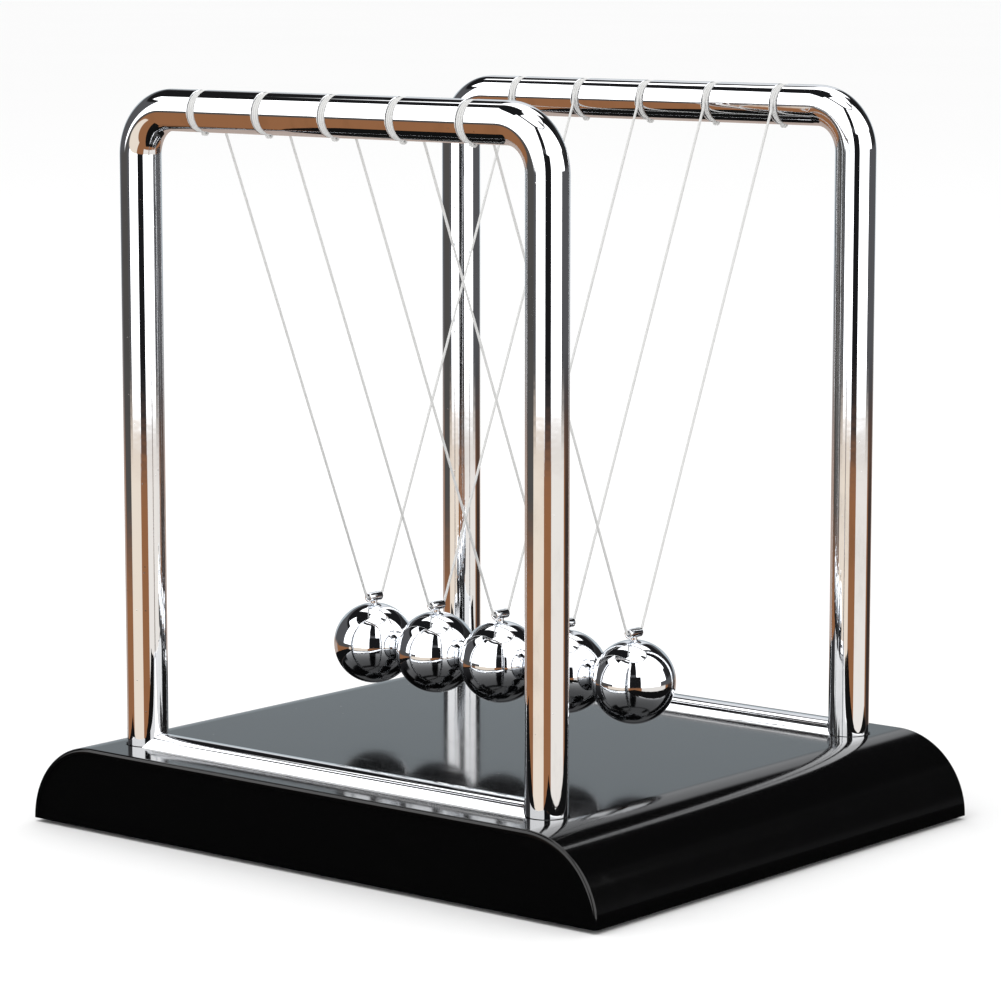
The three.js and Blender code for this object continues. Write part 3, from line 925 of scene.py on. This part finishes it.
class CRADLE_OT_balls(bpy.types.Operator):
    """Turn the five balls, each with the countersunk socket that its hanger is pressed into"""

    bl_idname = "cradle.balls"
    bl_label = "Balls"

    def execute(self, context):
        sizes = context.scene.cradle_ball
        radius = BALL_DIAMETER / 2
        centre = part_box("ball_1")[0].z + radius
        socket = sizes.stem / 2 + HAIR_GAP
        sink = HANGER_LOW.z - HAIR_GAP - centre
        shoulder = math.degrees(math.acos((socket + sizes.seat) / radius))
        profile = [(0, -radius), *arc((0, 0), radius, -90, shoulder, 72)[1:]]
        profile += [(socket, profile[-1][1] - sizes.seat), (socket, sink), (0, sink)]
        for name, number in zip(BALLS, NUMBERS):
            made = shift(turned("steel_ball_" + number, profile, 112), middle(name).x, 0, centre)
            hand_over(crisp(made), "pendulum_" + number, "ball_chrome", [name])
        return {"FINISHED"}


class CRADLE_OT_hangers(bpy.types.Operator):
    """Make the small tube on each ball, with rounded ends, a bore for the line and a stem"""

    bl_idname = "cradle.hangers"
    bl_label = "Hangers"

    def execute(self, context):
        sizes = context.scene.cradle_ball
        outer, bore, rim, half = HANGER_DIAMETER / 2, sizes.bore / 2, sizes.rim, HANGER_LENGTH / 2
        section = arc((outer - rim, half - rim), rim, 0, 90, 6)
        section += arc((bore + rim, half - rim), rim, 90, 180, 6)
        section += [(radius, -place) for radius, place in reversed(section)]
        stem, stem_top = sizes.stem / 2, HANGER_HEIGHT - bore - rim
        post = [(0, HANGER_LOW.z), (stem, HANGER_LOW.z), (stem, stem_top), (0, stem_top)]
        for number in NUMBERS:
            tube = shift(quarter_turn(turned("tube", section), "X"), z=HANGER_HEIGHT)
            made = combine(turned("eye_stem_" + number, post, 48), tube, "UNION")
            made = crisp(shift(made, middle("ball_" + number).x))
            hand_over(made, "pendulum_" + number, "ball_chrome", ["ball_hanger_" + number])
        return {"FINISHED"}


def line_route(frame_sizes, line):
    """Where a line lies, in the plane across the front bar: the bar's middle, the angle that it leaves its
    turns at, the radius of the turns, the point that it swings about and the mouth of its hanger."""
    bar = Vector((0, -FRAMES_APART / 2, BAR_HEIGHT))
    wound = TUBE_DIAMETER / 2 - frame_sizes.groove_depth + line.rise
    mouth = Vector((0, -(HANGER_LENGTH / 2 + line.mouth_gap), HANGER_HEIGHT))
    reach = mouth - bar
    leave = math.atan2(reach.z, reach.y) + math.acos(wound / reach.length)
    leaving = bar + wound * around(leave)
    share = (leaving.z - pivot_height(NUMBERS[0])) / (leaving.z - mouth.z)
    return bar, leave, wound, leaving.lerp(mouth, share), mouth


def around(turn):
    """A direction at an angle round X."""
    return Vector((0, math.cos(turn), math.sin(turn)))


def flipped(path):
    """The same path on the other side of the row of balls, half turned about Z."""
    return [Vector((-point.x, -point.y, point.z)) for point in path]


class CRADLE_OT_lines(bpy.types.Operator):
    """String the five lines: turns and a knot round each bar, and the V that swings through the hanger"""

    bl_idname = "cradle.lines"
    bl_label = "Lines"

    def wound_end(self, route, line):
        """The turns round the bar down to where the line starts to swing, and the knot under the bar."""
        bar, leave, wound, pivot, _ = route
        start = -math.pi / 2 + math.tau * line.turns + math.tau
        steps = 40 * (line.turns + 1)
        spread = line.pitch * (start - leave) / math.tau
        points = []
        for step in range(steps + 1):
            share = step / steps
            sideways = Vector((spread * (share - 0.5), 0, 0))
            points.append(bar + wound * around(start + (leave - start) * share) + sideways)
        points += [points[-1].lerp(pivot, share) for share in (0.25, 0.5, 0.75, 1.0)]
        knot_steps, per_turn, hang = 36, 16, 0.24 * MM
        knot = []
        for step in range(knot_steps + 1):
            sideways = line.pitch * (step - knot_steps / 2) / per_turn
            centre = bar + Vector((sideways, 0, -wound - hang))
            knot.append(centre + line.knot_radius * around(math.tau * step / per_turn))
        return [points, knot]

    def swinging_path(self, pivot, mouth):
        """One side of the V, rounded into the hanger's bore, and the other side after it."""
        bend = 0.3 * MM
        down, inward = (mouth - pivot).normalized(), Vector((0, 1, 0))
        corner = [mouth - bend * down, mouth - 0.3 * bend * down + 0.1 * bend * inward, mouth + bend * inward]
        half = [pivot, pivot.lerp(mouth, 0.5), *corner]
        return half + flipped(reversed(half))

    def execute(self, context):
        line = context.scene.cradle_line
        route = line_route(context.scene.cradle_frame, line)
        tree = line_tree()
        common = {"Diameter": line.diameter, "Sides": 12, "Pitch": BALL_PITCH}
        front = self.wound_end(route, line)
        ends = tree.run(
            curve_piece("wound ends", front + [flipped(path) for path in front]),
            "wound_line_ends",
            "clear_line",
            Bead=line.diameter * WOUND_BEAD,
            Count=len(BALLS),
            First_Place=middle(BALLS[0]).x,
            **common,
        )
        nodes = [f"line_end_{side}_{number}" for side in SIDES for number in NUMBERS]
        hand_over(ends, "root", "clear_line", nodes)

        path = self.swinging_path(*route[3:])
        for name, number in zip(BALLS, NUMBERS):
            hung = tree.run(
                curve_piece("hung line", [path]),
                "hung_line_" + number,
                "clear_line",
                Bead=line.diameter * HUNG_BEAD,
                Count=1,
                First_Place=middle(name).x,
                **common,
            )
            hand_over(hung, "pendulum_" + number, "clear_line", ["line_" + number])
        return {"FINISHED"}


# ---- Studio ----

# Colours of the painted reflections: painted lamps, cards, far wall and cloth, and the painted dark
# reflection between them.
CARD, LAMP = (2.6, 2.6, 2.6), (2.2, 2.2, 2.2)
FAR_WALL, FAR_CLOTH, FAR_LAMP = (0.50, 0.56, 0.60), (0.50, 0.40, 0.35), (0.85, 0.87, 0.90)
DARK = (0.012, 0.012, 0.013)

# Painted reflections: patches painted on the world that only glossy rays see, so they show only in the
# polished
# metal, each on top of the ones before: from and to, in degrees, to the right of the camera and above the
# horizon, how soft its edges are, and its colour.
PAINTED_REFLECTIONS = (
    ("table", (-190, 190), (-91, -7), 1.0, (0.33, 0.145, 0.065)),
    ("dim wall", (-190, 190), (-7, 28), 1.5, (0.10, 0.10, 0.105)),
    ("dim wall, far right", (99, 150), (3, 28), 3.0, (0.025, 0.025, 0.026)),
    ("wall behind, right", (150, 190), (-7, 16), 3.0, FAR_WALL),
    ("wall behind, left", (-190, -150), (-7, 16), 3.0, FAR_WALL),
    ("cloth behind, right", (140, 190), (-75, -7), 3.0, FAR_CLOTH),
    ("cloth behind, left", (-190, -132), (-75, -7), 3.0, FAR_CLOTH),
    ("lamp behind, right", (165, 190), (16, 46), 2.0, FAR_LAMP),
    ("lamp behind, left", (-190, -172), (16, 46), 2.0, FAR_LAMP),
    ("lamp overhead, right", (140, 190), (46, 82), 1.5, LAMP),
    ("lamp overhead, left", (-190, -145), (46, 82), 1.5, LAMP),
    ("lamp overhead, near part", (-62, 150), (64, 82), 1.5, LAMP),
    ("lamp overhead, middle", (-190, 190), (80, 92), 1.5, LAMP),
    ("end of the lamp", (66, 88), (64, 75), 1.5, (0.05, 0.05, 0.05)),
    ("left card", (-96, -13), (-2, 36), 1.0, CARD),
    ("left card, top", (-118, -60), (34, 50), 1.0, CARD),
    ("left card, near top", (-70, -14), (34, 58), 1.0, CARD),
    ("left card, low part", (-61, -13), (-7, -2), 1.0, CARD),
    ("left card, warm foot", (-76, -17), (-30, -7), 1.0, (0.95, 0.83, 0.70)),
    ("edge of the table, left", (-125, -76), (-9, -2), 1.0, (0.09, 0.085, 0.08)),
    ("right card", (18, 76), (-7, 22), 1.0, CARD),
    ("right card, top", (6, 104), (22, 62), 1.0, CARD),
    ("right card, far part", (76, 96), (2, 22), 1.0, CARD),
    ("right card, warm foot", (20, 94), (-24, -7), 1.0, (0.95, 0.90, 0.84)),
    ("edge of the table, right", (104, 147), (-24, -7), 1.5, (0.05, 0.035, 0.03)),
    ("gap between the cards", (-13, 18), (-7, 22), 1.0, DARK),
)

# How far the floor reaches from the middle, and the dark mat, a painted dark reflection, from the base.
FLOOR_REACH = 30.0
DARK_REFLECTION_MARGIN = 42 * MM


class CRADLE_OT_studio(bpy.types.Operator):
    """Set up the floor, the soft light, the painted reflections in the metal, and the camera"""

    bl_idname = "cradle.studio"
    bl_label = "Studio"

    def add_camera(self, studio):
        back = Vector((
            math.sin(studio.azimuth) * math.cos(studio.elevation),
            -math.cos(studio.azimuth) * math.cos(studio.elevation),
            math.sin(studio.elevation),
        ))
        data = bpy.data.cameras.new("Camera")
        data.lens = data.sensor_width / 2 / math.tan(studio.field / 2)
        data.clip_start = 0.01
        data.clip_end = 100.0
        camera = placed("Camera", data)
        camera.location = Vector((0, 0, studio.aim_height)) + back * studio.distance
        self.face(camera, -back)
        bpy.context.scene.camera = camera

    def face(self, thing, direction):
        thing.rotation_mode = "QUATERNION"
        thing.rotation_quaternion = direction.to_track_quat("-Z", "Y")

    def add_ground(self, name, x, y, height, title, noise_scale, low_tone, high_tone, roughness):
        """A flat sheet without gloss."""
        sheet = mesh_piece(name, [(-x, -y, 0), (x, -y, 0), (x, y, 0), (-x, y, 0)], [(0, 1, 2, 3)])
        finish = Finish(title)
        tone = finish.mix(finish.noise(noise_scale), low_tone, high_tone)
        material = finish.set(base_color=tone, roughness=roughness, specular_ior_level=0.0)
        sheet.data.materials.append(material)
        shift(sheet, z=height)
        return sheet

    def add_floor(self, colours):
        tones = rgba(colours.floor, 0.985), rgba(colours.floor)
        floor = self.add_ground("studio_floor", FLOOR_REACH, FLOOR_REACH, 0.0, "Pale floor", 3, *tones, 0.8)
        floor.visible_glossy = False

    def add_dark_reflection(self):
        """A dark mat round the base, which only the polished faces can see: a painted dark reflection near
        the base.
        """
        x, y = BASE_HIGH.x + DARK_REFLECTION_MARGIN, BASE_HIGH.y + DARK_REFLECTION_MARGIN
        tones = (0.004, 0.004, 0.004, 1.0), (0.008, 0.008, 0.008, 1.0)
        # The mat is a painted dark reflection: hidden from the camera, from diffuse light and from shadows,
        # it darkens only what the polished faces mirror.
        mat = self.add_ground("studio_mat", x, y, 0.01 * MM, "Dark mat", 800, *tones, 1.0)
        mat.visible_camera = mat.visible_diffuse = mat.visible_shadow = mat.visible_transmission = False

    def add_light(self, studio):
        data = bpy.data.lights.new("Overhead softbox", "AREA")
        data.shape = "RECTANGLE"
        data.size, data.size_y = 0.7, 0.5
        data.energy = studio.key_power
        light = placed("Overhead softbox", data)
        light.location = Vector((-0.25, -0.3, 0.95))
        self.face(light, -light.location)
        light.visible_glossy = light.visible_camera = False

    def add_surroundings(self, studio):
        """Plain white for the eye and for soft light, and a room of cards painted on the world for glossy
        rays only: painted reflections in the metal.
        """
        world = bpy.data.worlds.new("Studio")
        world.use_nodes = True
        bpy.context.scene.world = world
        maker = NodeMaker(world.node_tree)
        ray = maker.node("ShaderNodeSeparateXYZ", {0: maker.node("ShaderNodeTexCoord").outputs["Generated"]})
        x, y, z = (Value(maker, output) for output in ray.outputs)
        sine, cosine = math.sin(studio.azimuth), math.cos(studio.azimuth)
        side = x * cosine + y * sine
        near = x * sine - y * cosine
        right = maker.maths("ARCTAN2", side, near) * math.degrees(1)
        up = maker.maths("ARCSINE", z) * math.degrees(1)
        # Painted dark reflection wherever no patch is painted; the patches are painted reflections on top of
        # it.
        seen = rgba(DARK)
        for _, across, height, soft, tone in PAINTED_REFLECTIONS:
            mask = right.between(*across, soft) * up.between(*height, soft)
            seen = maker.mix(mask, seen, rgba(tone))

        path = maker.node("ShaderNodeLightPath").outputs
        white = (1.0, 1.0, 1.0)
        plain = maker.mix(path["Is Camera Ray"], rgba(white, studio.fill), rgba(white))
        background = world.node_tree.nodes["Background"]
        # Glossy rays see the painted reflections; the camera and all other rays see plain white.
        maker.feed(background.inputs["Color"], maker.mix(path["Is Glossy Ray"], plain, seen))

    def execute(self, context):
        context.scene.view_settings.view_transform = "Standard"
        studio = context.scene.cradle_studio
        self.add_camera(studio)
        self.add_floor(context.scene.cradle_colours)
        self.add_dark_reflection()
        self.add_light(studio)
        self.add_surroundings(studio)
        return {"FINISHED"}


# ---- Panel, registration and the order of work ----

STEPS = (
    CRADLE_OT_studio,
    CRADLE_OT_base,
    CRADLE_OT_cover,
    CRADLE_OT_frames,
    CRADLE_OT_fittings,
    CRADLE_OT_balls,
    CRADLE_OT_hangers,
    CRADLE_OT_lines,
)
GROUPS = {
    "cradle_base": CradleBaseSizes,
    "cradle_frame": CradleFrameSizes,
    "cradle_ball": CradleBallSizes,
    "cradle_line": CradleLineSizes,
    "cradle_colours": CradleColours,
    "cradle_studio": CradleStudio,
}


class CRADLE_PT_panel(bpy.types.Panel):
    """The cradle's sizes, colours and steps in the sidebar"""

    bl_label = "Newton's Cradle"
    bl_idname = "CRADLE_PT_panel"
    bl_space_type = "VIEW_3D"
    bl_region_type = "UI"
    bl_category = "Cradle"

    def draw(self, context):
        for step in STEPS:
            self.layout.operator(step.bl_idname)
        for name, group in GROUPS.items():
            box = self.layout.box()
            box.label(text=group.__doc__)
            for title in group.__annotations__:
                box.prop(getattr(context.scene, name), title)


def register():
    for group in GROUPS.values():
        bpy.utils.register_class(group)
    for name, group in GROUPS.items():
        setattr(bpy.types.Scene, name, PointerProperty(type=group))
    for step in (*STEPS, CRADLE_PT_panel):
        bpy.utils.register_class(step)


def unregister():
    for step in (*STEPS, CRADLE_PT_panel):
        bpy.utils.unregister_class(step)
    for name, group in GROUPS.items():
        delattr(bpy.types.Scene, name)
        bpy.utils.unregister_class(group)


def make_cradle():
    """Registers everything and makes every piece."""
    register()
    for step in STEPS:
        category, name = step.bl_idname.split(".")
        getattr(getattr(bpy.ops, category), name)()


if __name__ == "__main__":
    make_cradle()
